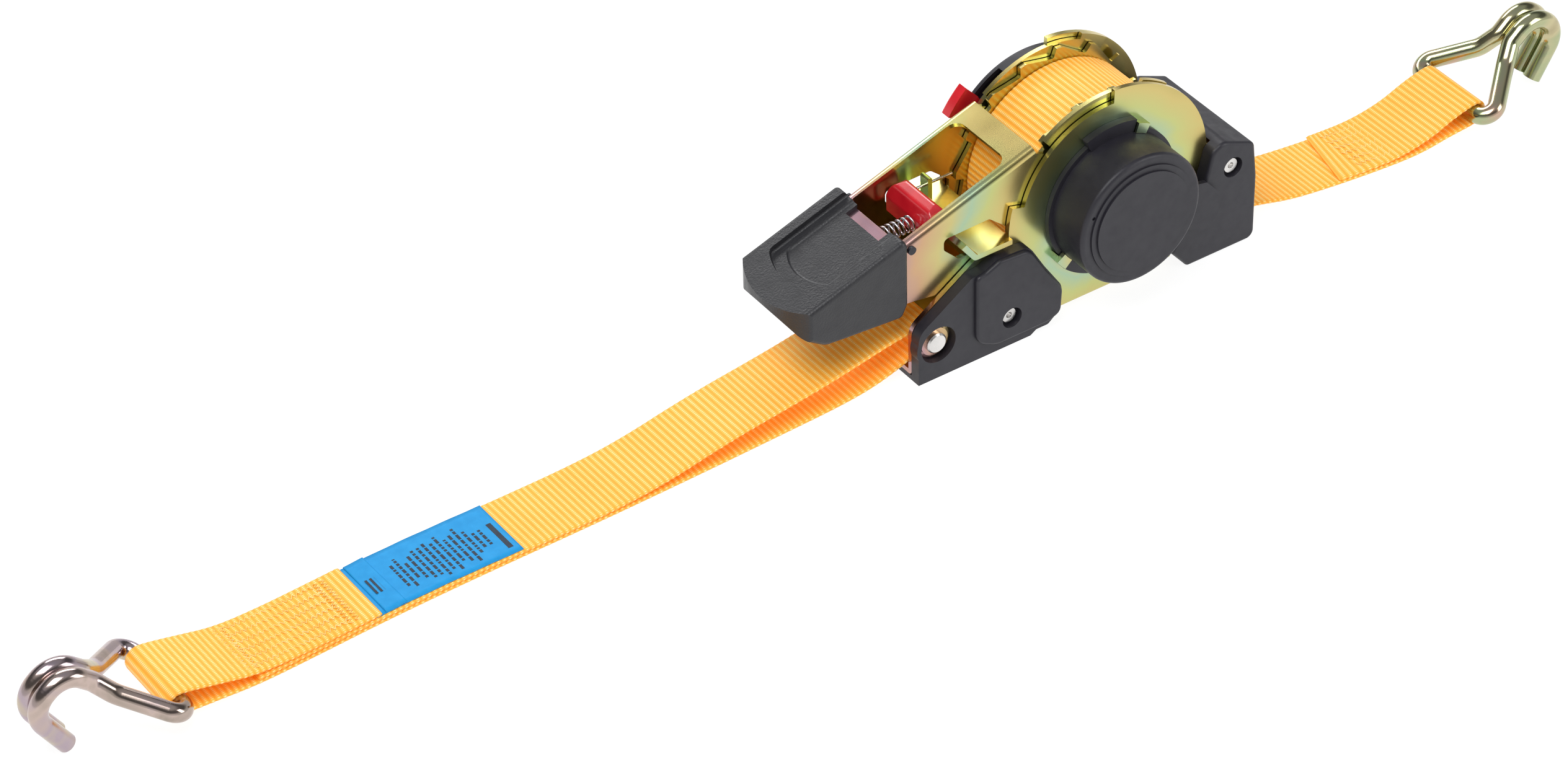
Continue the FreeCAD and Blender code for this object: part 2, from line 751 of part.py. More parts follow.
def cut_window(body):
    """Window through the top plate, cut square to it with rounded corners."""
    before = body.Shape.Volume
    plane = [item for item in body.Origin.OriginFeatures if item.Role == "XY_Plane"][0]
    item = body.newObject("Sketcher::SketchObject", "Window")
    item.AttachmentSupport = [(plane, "")]
    item.MapMode = "FlatFace"
    x, z = on_handle(0, 1.0)
    turn = FreeCAD.Rotation(Vec(0, 1, 0), -size("handle_pitch"))
    item.AttachmentOffset = FreeCAD.Placement(Vec(x, 0, z), turn)
    half = 12.9
    window = [(-1.3, -half, 2.0), (41.4, -half, 4.0), (41.4, half, 4.0), (-1.3, half, 2.0)]
    item.addGeometry(rounded(window), False)
    pocket = body.newObject("PartDesign::Pocket", "WindowCut")
    pocket.Profile = item
    pocket.Length = 3.0
    doc.recompute()
    if body.Shape.Volume >= before - 1e-6:
        raise RuntimeError("the handle window cuts nothing")


def handle_bend(edge):
    """True for the two long outer corners of the top plate."""
    box = edge.BoundBox
    if abs(abs(box.YMin) - size("handle_outer")) > 1e-3 or box.YLength > 1e-3 or box.XLength < 40:
        return False
    x, z = on_handle(7.3, 0)
    return abs(box.Center.x - x) < 0.5 and abs(box.Center.z - z) < 0.5


GRIP_PROFILE = [
    (-76.6, 53.6, 1.4),
    (-118.4, 39.7, 1.0),
    (-113.4, 32.4, 5.0),
    (-106.0, 27.4, 6.0),
    (-98.0, 26.6, 8.0),
    (-77.6, 25.0, 2.2),
    (-75.4, 29.5, 3.0),
    (-75.4, 51.5, 2.0),
]


def bowed(front, corner, back, half):
    """Face in plan view with a bowed front edge, two straight sides and a straight back."""
    edges = [
        Part.Arc(Vec(corner, -half, 0), Vec(front, 0, 0), Vec(corner, half, 0)),
        Part.LineSegment(Vec(corner, half, 0), Vec(back, half, 0)),
        Part.LineSegment(Vec(back, half, 0), Vec(back, -half, 0)),
        Part.LineSegment(Vec(back, -half, 0), Vec(corner, -half, 0)),
    ]
    return Part.Face(Part.Wire([edge.toShape() for edge in edges]))


def thumb_recess(front, half, depth):
    """Tool that sinks a bowed recess into the grip's top, with a soft edge to its floor."""
    block = bowed(front, front + 4.0, 4.0, half).extrude(Vec(0, 0, 5.0))
    corners = [edge for edge in block.Edges
               if edge.BoundBox.ZLength > 4.9 and edge.BoundBox.Center.x < front + 6]
    block = block.makeFillet(3.0, corners)
    floor = [edge for edge in block.Edges if edge.BoundBox.ZMax < 0.01 and edge.BoundBox.XMin < 3.9]
    block = block.makeFillet(depth * 0.9, floor)
    block.rotate(Vec(0, 0, 0), Vec(0, 1, 0), -size("handle_pitch"))
    x, z = on_handle(0.0, 2.65 - depth)
    block.translate(Vec(x, 0, z))
    return block


def handle_grip():
    """Black moulded grip over the handle's end, with a stepped thumb recess and a bowed front edge."""
    half = 18.0
    shift = size("axle_x")
    profile = [(x + shift, z, r) for x, z, r in GRIP_PROFILE]
    face = Part.Face(Part.Wire(Part.sortEdges([e.toShape() for e in rounded(profile)])[0]))
    block = face.extrude(Vec(0, 0, 2 * half))
    block.rotate(Vec(0, 0, 0), Vec(1, 0, 0), 90)
    block.translate(Vec(0, half, 0))
    plan = bowed(shift - 117.2, shift - 111.2, shift - 70.0, half + 0.1).extrude(Vec(0, 0, 80))
    block = block.common(plan).removeSplitter()
    sides = [e for e in block.Edges if e.BoundBox.YLength < 0.6 and abs(abs(e.BoundBox.Center.y) - half) < 0.3
             and e.Length > 1.5]
    block = block.makeFillet(1.5, sides)
    notch = Part.makeBox(6.0, 17.0, 8.0, Vec(0, -8.3, 0))
    notch.rotate(Vec(0, 0, 0), Vec(0, 1, 0), -size("handle_pitch"))
    x, z = on_handle(-5.2, 0.02)
    notch.translate(Vec(x, 0, z))
    tools = [thumb_recess(-34.6, 13.6, 0.75), thumb_recess(-30.4, 11.2, 1.45), notch, grip_cavity()]
    return solid("handle_grip", block.cut(tools))


def grip_cavity():
    """Room inside the grip for the handle stamping, open towards the hub."""
    half = size("handle_outer") + 0.05
    profile = [
        on_handle(-36.0, 0.02),
        on_handle(8.0, 0.02),
        axle(-66.0, 22.0),
        axle(-77.0, 27.6),
        axle(-100.0, 29.2),
        axle(-106.0, 32.0),
    ]
    face = Part.Face(Part.Wire([e.toShape() for e in rounded(profile)]))
    block = face.extrude(Vec(0, 0, 2 * half))
    block.rotate(Vec(0, 0, 0), Vec(1, 0, 0), 90)
    block.translate(Vec(0, half, 0))
    return block


def grip_pegs():
    """Two identical black pegs that clip the grip to the handle's arms."""
    x, z = axle(-73.2, 48.0)
    shapes = []
    for side in (NEAR, FAR):
        start = side * size("handle_outer")
        shapes.append(Part.makeCylinder(1.4, 0.9, Vec(x, start, z), Vec(0, side, 0)))
    return solid("grip_pegs", Part.makeCompound(shapes))


def spring_seat():
    """Bent bracket under the top plate that the drive pawl's spring pushes against."""
    body = new_body("spring_seat")
    seat = [
        on_handle(-16.0, -1.5),
        on_handle(-2.2, -1.5) + (1.6,),
        axle(-75.0, 38.6),
        axle(-76.3, 38.6),
        on_handle(-3.6, -2.8),
        on_handle(-16.0, -2.8),
    ]
    slab(body, [rounded(seat)], -8.0, 8.0)
    return body


def pawl_spring():
    """Compression spring between the bracket and the red trigger, along X."""
    left, right = axle(-74.95, 0)[0], axle(-63.3, 0)[0]
    wire, radius, coils = 0.35, 2.4, 6
    length = right - left - 2 * wire
    helix = Part.makeHelix(length / coils, length, radius)
    start = Part.Wire([Part.Circle(Vec(radius, 0, 0), Vec(0, 1, 0), wire).toShape()])
    coil = Part.Wire(helix.Edges).makePipeShell([start], True, True)
    coil.rotate(Vec(0, 0, 0), Vec(0, 1, 0), 90)
    coil.translate(Vec(left + wire, -3.0, 46.2))
    return solid("pawl_spring", coil)


def drive_pawl():
    """Sliding pawl of bent sheet that spans the handle and sticks out through its slots."""
    body = new_body("drive_pawl")
    tip = -size("pawl_tip")
    half_sheet = size("pawl_sheet") / 2
    low, high = size("axle_z") - half_sheet, size("axle_z") + half_sheet
    reach = size("pawl_reach")
    profile = [
        (tip, low),
        (tip, high),
        (-51.6, high, 1.0),
        (-55.6, 44.4),
        (-57.4, 43.5),
        (-52.6, low, 2.2),
    ]
    slab(body, [rounded(shifted(profile))], -reach, reach)
    tab = [(-50.4, high - 0.5), (-48.8, high - 0.5), (-48.8, 50.6, 0.5), (-50.4, 50.6, 0.5)]
    slab(body, [rounded(shifted(tab))], 6.8, 10.8)
    return body


def pawl_wire():
    """Thin wire through the pawl's upright tab."""
    start = axle(-53.3, 0)[0]
    wire = Part.makeCylinder(0.5, 13.3, Vec(start, 8.8, 47.4), Vec(1, 0, 0))
    tab = Part.makeBox(1.6, 4.0, 13.0, Vec(axle(-50.4, 0)[0], 6.8, 38.0))
    return solid("pawl_wire", wire.cut(tab))


TRIGGER_PROFILE = [
    (-62.9, 41.2, 1.0),
    (-63.0, 47.4, 3.0),
    (-61.6, 52.4, 1.8),
    (-57.6, 53.2, 1.8),
    (-54.2, 49.0, 2.0),
    (-53.6, 44.5, 0.6),
    (-58.3, 44.5),
    (-59.2, 41.2, 0.6),
]


def pawl_trigger():
    """Red finger pull on the drive pawl's upturned lip, its top corners widely rounded."""
    half, top, turn = 11.8, 53.4, 6.5
    profile = Part.Face(Part.Wire([edge.toShape() for edge in rounded(shifted(TRIGGER_PROFILE))]))
    block = profile.extrude(Vec(0, 0, 2 * half))
    block.rotate(Vec(0, 0, 0), Vec(1, 0, 0), 90)
    block.translate(Vec(0, half, 0))
    front = [(-half, 40.0), (half, 40.0), (half, top, turn), (-half, top, turn)]
    arch = Part.Face(Part.Wire([edge.toShape() for edge in rounded(front)])).extrude(Vec(0, 0, 30.0))
    arch.rotate(Vec(0, 0, 0), Vec(1, 1, 1), 120)
    arch.translate(Vec(axle(-70.0, 0)[0], 0, 0))
    block = block.common(arch).removeSplitter()
    sides = [edge for edge in block.Edges if abs(edge.BoundBox.Center.y) > 4 and edge.BoundBox.ZMin > 45.5
             and edge.BoundBox.ZLength > 0.5]
    return solid("pawl_trigger", block.makeFillet(0.9, sides))


# ---------------------------------------------------------------- spool group
def mandrel_half(label, side):
    """One half-round bar of the split axle that grips the webbing's inner end."""
    body = new_body(label)
    radius, half_gap = size("mandrel_radius"), size("mandrel_gap") / 2
    edge = math.degrees(math.asin(half_gap / radius))
    start, end = (edge, 180 - edge) if side > 0 else (180 + edge, 360 - edge)
    middle = (start + end) / 2
    a, b, c = (flat(around(radius, turn)) for turn in (start, middle, end))
    slab(body, [[Part.Arc(a, b, c), Part.LineSegment(c, a)]], -31.0, 20.0)
    return body


def wheel_outline():
    """Saw-tooth outline of a ratchet wheel, steep faces towards the winding push."""
    tip, root, count = size("wheel_tip"), size("wheel_root"), int(size("tooth_count"))
    pitch = 360.0 / count
    first = size("lock_angle") - 2.8
    points = []
    for tooth in range(count):
        gullet = first - tooth * pitch
        points.append(around(root, gullet) + (0.6,))
        points.append(around(tip, gullet - 1.6) + (0.3,))
        points.append(around(tip, gullet - 5.4) + (1.0,))
        points.append(around(root + 0.5, gullet - pitch + 5.2) + (2.0,))
    return rounded(points)


def ratchet_wheel(label, side):
    """Toothed wheel at one side of the webbing roll."""
    body = new_body(label)
    low, high = sorted((side * size("wheel_inner"), side * size("wheel_outer")))
    slab(body, [wheel_outline()], low, high, "Sizes.wheel_outer - Sizes.wheel_inner")
    cut(body, [circle(around(0, 0), size("mandrel_radius"))], low, high)
    return body


def webbing_roll():
    """Wound webbing between the ratchet wheels."""
    body = new_body("webbing_roll")
    half = size("webbing_width") / 2
    slab(body, [circle(around(0, 0), size("roll_radius"))], -half, half, "Sizes.webbing_width")
    cut(body, [circle(around(0, 0), size("mandrel_radius"))], -half, half)
    return body


def axle_clip():
    """Retaining ring on the axle's far end."""
    x, z = around(0, 0)
    aim = Vec(0, 1, 0)
    radius = size("mandrel_radius")
    ring = Part.makeCylinder(radius + 0.45, 0.9, Vec(x, 18.4, z), aim)
    ring = ring.cut(Part.makeCylinder(radius, 0.9, Vec(x, 18.4, z), aim))
    gap = Part.makeBox(5.0, 2.0, 12.0, Vec(x - 2.5, 18.0, z - 12.0))
    return solid("axle_clip", ring.cut(gap))


# ---------------------------------------------------------------- lock group
def lock_pawl():
    """Sliding pawl across the channel that holds both ratchet wheels against unwinding."""
    body = new_body("lock_pawl")
    half = size("lock_sheet") / 2
    lifted = size("lock_lifted")
    edge = [
        lock_point(lifted, half - 0.6),
        lock_point(lifted + 0.6, half),
        lock_point(lifted + 7.0, half),
        lock_point(lifted + 7.0, -half),
        lock_point(lifted, -half),
    ]
    slab(body, [rounded(edge)], -17.8, 22.2)
    return body


def lock_springs():
    """Two identical small coil springs in the plates' slots that push the lock pawl inwards."""
    shapes = []
    for side in (NEAR, FAR):
        wire, radius, coils = 0.18, 0.55, 3
        turn = math.radians(size("lock_angle"))
        start = size("lock_lifted") + 7.3 + wire
        length = 2.0
        helix = Part.makeHelix(length / coils, length, radius)
        ring = Part.Wire([Part.Circle(Vec(radius, 0, 0), Vec(0, 1, 0), wire).toShape()])
        coil = Part.Wire(helix.Edges).makePipeShell([ring], True, True)
        coil.rotate(Vec(0, 0, 0), Vec(0, 1, 0), 90 - math.degrees(turn))
        x, z = lock_point(start, 0.0)
        coil.translate(Vec(x, side * 17.05, z))
        shapes.append(coil)
    return solid("lock_springs", Part.makeCompound(shapes))


def release_lever():
    """Red lever on the housing's boss: a thumb pad above, and a cam that lifts the lock pawl."""
    body = new_body("release_lever")
    low, high = 20.9, 22.9
    slab(body, [circle(around(0, 0), 14.0)], low, high)
    slab(body, [sector(10.0, 33.0, 133.0, 148.0)], low, high)
    slab(body, [sector(31.2, 38.0, 132.5, 148.5)], low, high + 2.0)
    base = size("lock_lifted") - 0.3
    drop, sweep = 3.1, 12.0
    start = size("lock_angle") - 2.4
    cam = [flat(around(9.0, start - 4.0)), flat(around(base, start - 2.0))]
    for step in range(7):
        part = step / 6
        cam.append(flat(around(base - drop * part, start + sweep * part)))
    cam.append(flat(around(base - drop, start + sweep + 5.0)))
    cam.append(flat(around(9.0, start + sweep + 8.0)))
    edges = [Part.LineSegment(cam[index], cam[(index + 1) % len(cam)]) for index in range(len(cam))]
    slab(body, [edges], low, high - 0.9)
    cut(body, [circle(around(0, 0), 10.86)], low, high)
    soften(body, "Fillet", 0.8, lambda edge: on_plane(edge, 1, high + 2.0))
    return body


# ---------------------------------------------------------------- straps and hooks
STRAP_JOIN = (-200.0, 1.9)
STRAP_NECK = (-268.0, 2.3)
STRAP_AT_PIN = -3.1
STRAP_AT_JOIN = -8.6
REEL_TURN_X = 52.0


def ribbon(outline):
    """Solid as wide as the webbing, centred on Y = 0, from an outline of the XZ plane."""
    edges = Part.sortEdges([edge.toShape() for edge in outline])[0]
    block = Part.Face(Part.Wire(edges)).extrude(Vec(0, 0, size("webbing_width")))
    block.rotate(Vec(0, 0, 0), Vec(1, 0, 0), 90)
    block.translate(Vec(0, size("webbing_width") / 2, 0))
    return block


def fixed_strap():
    """Short strap: looped round the anchor pin, slanting a little across, and sewn round the hook."""
    thick = size("webbing_thick")
    anchor = axle(size("anchor_x"), size("anchor_z"))
    grip = size("anchor_radius") + 0.75
    join, neck = axle(*STRAP_JOIN), axle(*STRAP_NECK)
    bar = axle(size("hook_left_x"), size("hook_bar_z"))
    loop = size("hook_wire") + 0.1
    slant = ribbon(belt(anchor, grip + thick, join, 1.6))
    slant = slant.cut(ribbon(belt(anchor, grip, axle(STRAP_JOIN[0] + 14.0, STRAP_JOIN[1] + 0.2), 0.3)))
    reach = anchor[0] - join[0]
    turn = math.degrees(math.atan((STRAP_AT_PIN - STRAP_AT_JOIN) / reach))
    slant.rotate(Vec(anchor[0], 0, 0), Vec(0, 0, 1), turn)
    slant.translate(Vec(0, STRAP_AT_PIN, 0))
    run = ribbon(belt(join, 1.6, neck, 2.0))
    end = ribbon(belt(neck, 2.0, bar, loop + thick - 0.05))
    run = run.fuse(end).cut(ribbon(belt(axle(STRAP_NECK[0] - 36.0, STRAP_NECK[1] + 1.6), 0.3, bar, loop)))
    run.translate(Vec(0, size("hook_left_y"), 0))
    print("fixed strap: bends of radius %.2f round the pin and %.2f round the hook" % (
        grip + thick / 2, loop + thick / 2))
    return solid("fixed_strap", slant.fuse(run))


def strap_label():
    """Blue label tucked under the sewn flap, on top of the fixed strap."""
    left, right = axle(-262.5, 0)[0], axle(-215.0, 0)[0]
    label = Part.makeBox(right - left, 24.6, 0.4, Vec(left, -12.3, 0))
    pitch = math.degrees(math.asin(0.4 / (STRAP_JOIN[0] - STRAP_NECK[0])))
    label.rotate(Vec(left, 0, 0), Vec(0, 1, 0), pitch)
    label.translate(Vec(0, size("hook_left_y"), 4.32))
    return solid("strap_label", label)


def reel_strap():
    """Free end of the wound webbing: out of the rear slot, along the ground and round the hook."""
    thick = size("webbing_thick")
    bar = axle(size("hook_right_x"), size("hook_bar_z"))
    loop = size("hook_wire") + 1.2
    start, bend, ground, flap = axle(2.0, 5.2), axle(REEL_TURN_X, 5.0), axle(80.0, 0.9), axle(100.0, 1.8)
    radius = thick / 2
    slope = ribbon(belt(bend, radius, ground, radius)).fuse([
        ribbon(belt(ground, radius, flap, 1.5)),
        ribbon(belt(flap, 1.6, bar, loop + thick - 0.05)),
    ])
    slope = slope.cut(ribbon(belt(axle(128.0, 4.2), 0.3, bar, loop)))
    reach = bar[0] - bend[0]
    turn = math.atan(size("hook_right_y") / reach)
    slope.rotate(Vec(bend[0], 0, 0), Vec(0, 0, 1), math.degrees(turn))
    slope.translate(Vec(reach * (1 - math.cos(turn)), 0, 0))
    print("reel strap: bend of radius %.2f round the hook" % (loop + thick / 2))
    return solid("reel_strap", ribbon(belt(start, radius, bend, radius)).fuse(slope))


def hook(label, side_name, towards):
    """Double-J hook of round wire: a bar in the strap's loop, two arms that meet, two bent tips."""
    wire, bar_z = size("hook_wire"), size("hook_bar_z")
    centre = axle(size(side_name + "_x"), bar_z)[0]
    pitch = math.radians(size("hook_pitch"))
    lean, rise = math.cos(pitch), math.sin(pitch)
    halves = []
    for side in (NEAR, FAR):
        def at(out, across, up):
            reach = out * lean - up * rise
            sideways = size(side_name + "_y") + side * across
            return Vec(centre + towards * reach, sideways, bar_z + up * lean + out * rise)
        points = [
            at(0.0, 0.0, 0.0),
            at(0.0, 20.9, 0.0),
            at(17.5, 6.3, 7.4),
            at(22.6, wire + 0.02, 12.1),
            at(31.4, wire + 0.02, 19.06),
            at(42.7, wire + 0.02, 9.3),
            at(31.8, wire + 0.02, -6.4),
        ]
        halves.append(rod(points, wire, [4.0, 10.0, 5.0, 8.1, 8.1]))
    return solid(label, halves[0].fuse(halves[1]))


def build():
    """Make every sub-part in turn."""
    frame_channel()
    front_guard()
    rear_guard()
    guard_rivets()
    anchor_pin()
    anchor_washers()
    rear_spacer()
    rear_spacer_rivet()
    recoil_drum()
    drum_back_plate()
    winding_spring()
    release_housing()
    housing_screws()
    handle_plate()
    handle_grip()
    grip_pegs()
    spring_seat()
    pawl_spring()
    drive_pawl()
    pawl_wire()
    pawl_trigger()
    mandrel_half("mandrel_upper", FAR)
    mandrel_half("mandrel_lower", NEAR)
    ratchet_wheel("ratchet_wheel_near", NEAR)
    ratchet_wheel("ratchet_wheel_far", FAR)
    webbing_roll()
    axle_clip()
    lock_pawl()
    lock_springs()
    release_lever()
    fixed_strap()
    strap_label()
    reel_strap()
    hook("hook_left", "hook_left", -1)
    hook("hook_right", "hook_right", 1)


def check_and_export():
    """Stop on any failed feature or bad shape, then write one STEP file per sub-part."""
    doc.recompute()
    for item in doc.Objects:
        if "Invalid" in item.State or "Error" in item.State:
            raise RuntimeError("%s failed: %s" % (item.Label, item.State))
    for item in PARTS:
        if item.Shape.isNull() or not item.Shape.isValid() or not item.Shape.Solids:
            raise RuntimeError("%s has a bad shape" % item.Label)
    os.makedirs("parts", exist_ok=True)
    for item in PARTS:
        item.Shape.exportStep(os.path.join("parts", item.Label + ".step"))
        print("%-20s solids %d volume %.1f" % (item.Label, len(item.Shape.Solids), item.Shape.Volume))


build()
check_and_export()
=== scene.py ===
"""Looks of the self-winding ratchet lashing strap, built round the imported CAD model."""
import json
import math
import random

import bpy
from mathutils import Matrix, Vector


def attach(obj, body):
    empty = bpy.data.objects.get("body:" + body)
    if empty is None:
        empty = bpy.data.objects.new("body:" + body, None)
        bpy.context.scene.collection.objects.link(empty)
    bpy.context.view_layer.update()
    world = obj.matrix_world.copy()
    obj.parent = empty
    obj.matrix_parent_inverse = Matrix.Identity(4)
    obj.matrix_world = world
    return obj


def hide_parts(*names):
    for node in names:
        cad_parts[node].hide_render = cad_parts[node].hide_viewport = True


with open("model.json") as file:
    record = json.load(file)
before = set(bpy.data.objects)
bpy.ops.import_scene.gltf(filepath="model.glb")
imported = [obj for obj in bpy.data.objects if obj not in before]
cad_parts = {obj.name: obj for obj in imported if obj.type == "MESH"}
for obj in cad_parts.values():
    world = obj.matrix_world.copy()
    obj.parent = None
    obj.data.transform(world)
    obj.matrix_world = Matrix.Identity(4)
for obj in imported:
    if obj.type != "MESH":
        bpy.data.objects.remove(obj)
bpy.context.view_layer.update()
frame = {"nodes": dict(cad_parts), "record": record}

MM = 0.001
AXLE = Vector((67.1, 0.0, 38.0)) * MM
HALF_WIDTH = 12.5    # of the webbing, in mm like the lengths below
WEB = 1.25           # its thickness
RIB_PITCH = 2.0      # from rib to rib along it
DASH_PITCH = 0.68    # from float to float across it
FLOOR_DROP = 0.0002  # the floor is this far, in m, under the part

# Camera: degrees round and above the part, roll, lens in mm and place in mm
CAMERA_ANGLES = (-33.806, 38.558, -1.447)
CAMERA_LENS = 124.78
CAMERA_PLACE = (-760.5, -1072.5, 1033.1)


# ---------------------------------------------------------------- camera, floor and light
def make_camera():
    """Camera high on the left, looking down on the drum side."""
    azimuth, elevation, roll = (math.radians(value) for value in CAMERA_ANGLES)
    back = Vector((
        math.sin(azimuth) * math.cos(elevation),
        -math.cos(azimuth) * math.cos(elevation),
        math.sin(elevation),
    ))
    level = Vector((math.cos(azimuth), math.sin(azimuth), 0))
    upright = back.cross(level)
    right = level * math.cos(roll) + upright * math.sin(roll)
    up = upright * math.cos(roll) - level * math.sin(roll)
    data = bpy.data.cameras.new("camera")
    data.sensor_fit = "HORIZONTAL"
    data.sensor_width = 36.0
    data.lens = CAMERA_LENS
    data.clip_start, data.clip_end = 0.05, 20.0
    camera = bpy.data.objects.new("camera", data)
    turn = Matrix((right, up, back)).transposed().to_4x4()
    camera.matrix_world = Matrix.Translation(Vector(CAMERA_PLACE) * MM) @ turn
    bpy.context.collection.objects.link(camera)
    bpy.context.scene.camera = camera


def area_light(name, place, aim, size, power, tint=(1, 1, 1)):
    data = bpy.data.lights.new(name, "AREA")
    data.shape = "RECTANGLE"
    data.size, data.size_y = size
    data.energy = power
    data.color = tint
    lamp = bpy.data.objects.new(name, data)
    lamp.location = place
    lamp.rotation_euler = (Vector(aim) - Vector(place)).to_track_quat("-Z", "Y").to_euler()
    bpy.context.collection.objects.link(lamp)


def make_stage():
    """Plain white floor that glows enough to keep shadows faint, and soft studio light."""
    floor = build_mesh("floor", [(-3, -3, 0), (3, -3, 0), (3, 3, 0), (-3, 3, 0)], [(0, 1, 2, 3)])
    floor.location.z = -FLOOR_DROP
    matt = new_material("floor_white")
    principled(matt, (0.14, 0.14, 0.14), roughness=0.9, Emission_Color=(1, 1, 1, 1), Emission_Strength=0.92)
    floor.data.materials.append(matt)
    world = bpy.data.worlds.new("studio")
    world.use_nodes = True
    tree = world.node_tree
    place = tree.nodes.new("ShaderNodeTexCoord")
    split = tree.nodes.new("ShaderNodeSeparateXYZ")
    ramp = tree.nodes.new("ShaderNodeValToRGB")
    tree.links.new(place.outputs["Generated"], split.inputs["Vector"])
    tree.links.new(split.outputs["Z"], ramp.inputs["Fac"])
    tree.links.new(ramp.outputs["Color"], tree.nodes["Background"].inputs["Color"])
    bands = ramp.color_ramp.elements
    bands[0].position, bands[0].color = 0.0, (0.9, 0.9, 0.9, 1)
    bands[1].position, bands[1].color = 1.0, (0.5, 0.52, 0.58, 1)
    for level, value in ((0.22, 0.85), (0.36, 0.12), (0.62, 0.12), (0.8, 0.5)):
        bands.new(level).color = (value, value, value, 1)
    tree.nodes["Background"].inputs["Strength"].default_value = 0.8
    bpy.context.scene.world = world
    bpy.context.scene.view_settings.view_transform = "Standard"
    area_light("key", (-0.5, -0.25, 1.1), (0, 0, 0.03), (0.9, 0.6), 10.0)
    area_light("side", (0.75, -0.9, 0.6), (0.05, 0, 0.04), (0.5, 0.7), 5.0)
    area_light("rim", (0.3, 0.9, 0.7), (0, 0, 0.04), (0.9, 0.4), 6.0)


# ---------------------------------------------------------------- materials
def new_material(name):
    material = bpy.data.materials.new(name)
    material.use_nodes = True
    return material


def principled(material, colour, roughness=0.5, metallic=0.0, **more):
    shader = material.node_tree.nodes["Principled BSDF"]
    shader.inputs["Base Color"].default_value = (*colour, 1)
    shader.inputs["Roughness"].default_value = roughness
    shader.inputs["Metallic"].default_value = metallic
    for name, value in more.items():
        shader.inputs[name.replace("_", " ")].default_value = value
    return shader


class Nodes:
    """Short calls for one material's node tree."""

    def __init__(self, material):
        self.tree = material.node_tree

    def add(self, kind, links=None, **values):
        node = self.tree.nodes.new("ShaderNode" + kind)
        for name, value in values.items():
            setattr(node, name, value)
        for name, source in (links or {}).items():
            socket = node.inputs[name]
            if hasattr(source, "is_output"):
                self.tree.links.new(source, socket)
            else:
                socket.default_value = source
        return node

    def math(self, operation, *terms):
        node = self.add("Math", operation=operation)
        for index, term in enumerate(terms):
            if hasattr(term, "is_output"):
                self.tree.links.new(term, node.inputs[index])
            else:
                node.inputs[index].default_value = term
        return node.outputs[0]

    def place(self):
        return self.add("TexCoord").outputs["Object"]

    def noise(self, scale, detail=2.0, where=None, rough=0.5, distort=0.0):
        links = {"Scale": scale, "Detail": detail, "Roughness": rough, "Distortion": distort}
        links["Vector"] = where or self.place()
        return self.add("TexNoise", links).outputs["Fac"]

    def ramp(self, value, stops, mode="LINEAR"):
        node = self.add("ValToRGB", {"Fac": value})
        node.color_ramp.interpolation = mode
        elements = node.color_ramp.elements
        while len(elements) < len(stops):
            elements.new(0.5)
        for element, (place, colour) in zip(elements, stops):
            element.position = place
            element.color = (*colour, 1)
        return node.outputs["Color"]

    def mix(self, factor, first, second, blend="MIX"):
        node = self.add("Mix", data_type="RGBA", blend_type=blend)
        for index, term in ((0, factor), (6, first), (7, second)):
            if hasattr(term, "is_output"):
                self.tree.links.new(term, node.inputs[index])
            elif index == 0:
                node.inputs[index].default_value = term
            else:
                node.inputs[index].default_value = (*term, 1)
        return node.outputs[2]

    def bump(self, height, distance, strength=1.0):
        node = self.add("Bump", {"Height": height, "Distance": distance, "Strength": strength})
        return node.outputs["Normal"]

    def link(self, source, name):
        self.tree.links.new(source, self.tree.nodes["Principled BSDF"].inputs[name])


def grey(value):
    return (value, value, value)


def zinc(name, stops, rough=0.3, scale=28.0, rings=0.0):
    """Chromated zinc: colours that drift over the sheet, and with the distance from the axle by rings."""
    material = new_material(name)
    principled(material, stops[0][1], rough, 1.0)
    n = Nodes(material)
    drift = n.noise(scale, 3.0, distort=0.6)
    if rings:
        parts = n.add("SeparateXYZ", {"Vector": n.place()})
        across = n.math("SUBTRACT", parts.outputs["X"], AXLE.x)
        height = n.math("SUBTRACT", parts.outputs["Z"], AXLE.z)
        squares = n.math("ADD", n.math("MULTIPLY", across, across), n.math("MULTIPLY", height, height))
        radius = n.math("SQRT", squares)
        ring = n.math("SUBTRACT", 1.0, n.math("PINGPONG", n.math("DIVIDE", radius, 0.039), 1.0))
        drift = n.math("ADD", n.math("MULTIPLY", ring, rings), n.math("MULTIPLY", drift, 1.0 - rings))
    n.link(n.ramp(drift, stops), "Base Color")
    n.link(n.ramp(n.noise(60.0, 2.0), [(0.3, grey(rough - 0.03)), (0.7, grey(rough + 0.04))]), "Roughness")
    n.link(n.bump(n.noise(500.0, 2.0), 0.00001, 0.15), "Normal")
    return material


def black_plastic():
    material = new_material("black_plastic")
    principled(material, (0.016, 0.015, 0.021), 0.43, Specular_IOR_Level=0.46)
    n = Nodes(material)
    tones = [(0.3, (0.013, 0.012, 0.018)), (0.7, (0.02, 0.019, 0.026))]
    n.link(n.ramp(n.noise(40.0, 3.0), tones), "Base Color")
    n.link(n.ramp(n.noise(300.0, 3.0), [(0.3, grey(0.4)), (0.7, grey(0.52))]), "Roughness")
    n.link(n.bump(n.noise(5200.0, 2.0), 0.00003, 0.35), "Normal")
    return material


def black_grip():
    """Black plastic with a fine leather grain."""
    material = new_material("black_grip")
    principled(material, (0.02, 0.02, 0.023), 0.42)
    n = Nodes(material)
    cells = n.add("TexVoronoi", {"Vector": n.place(), "Scale": 1500.0}, feature="F1").outputs["Distance"]
    grain = n.math("ADD", cells, n.math("MULTIPLY", n.noise(3800.0, 2.0), 0.6))
    n.link(n.bump(grain, 0.00008, 0.6), "Normal")
    n.link(n.ramp(n.noise(220.0, 3.0), [(0.35, grey(0.36)), (0.7, grey(0.5))]), "Roughness")
    return material


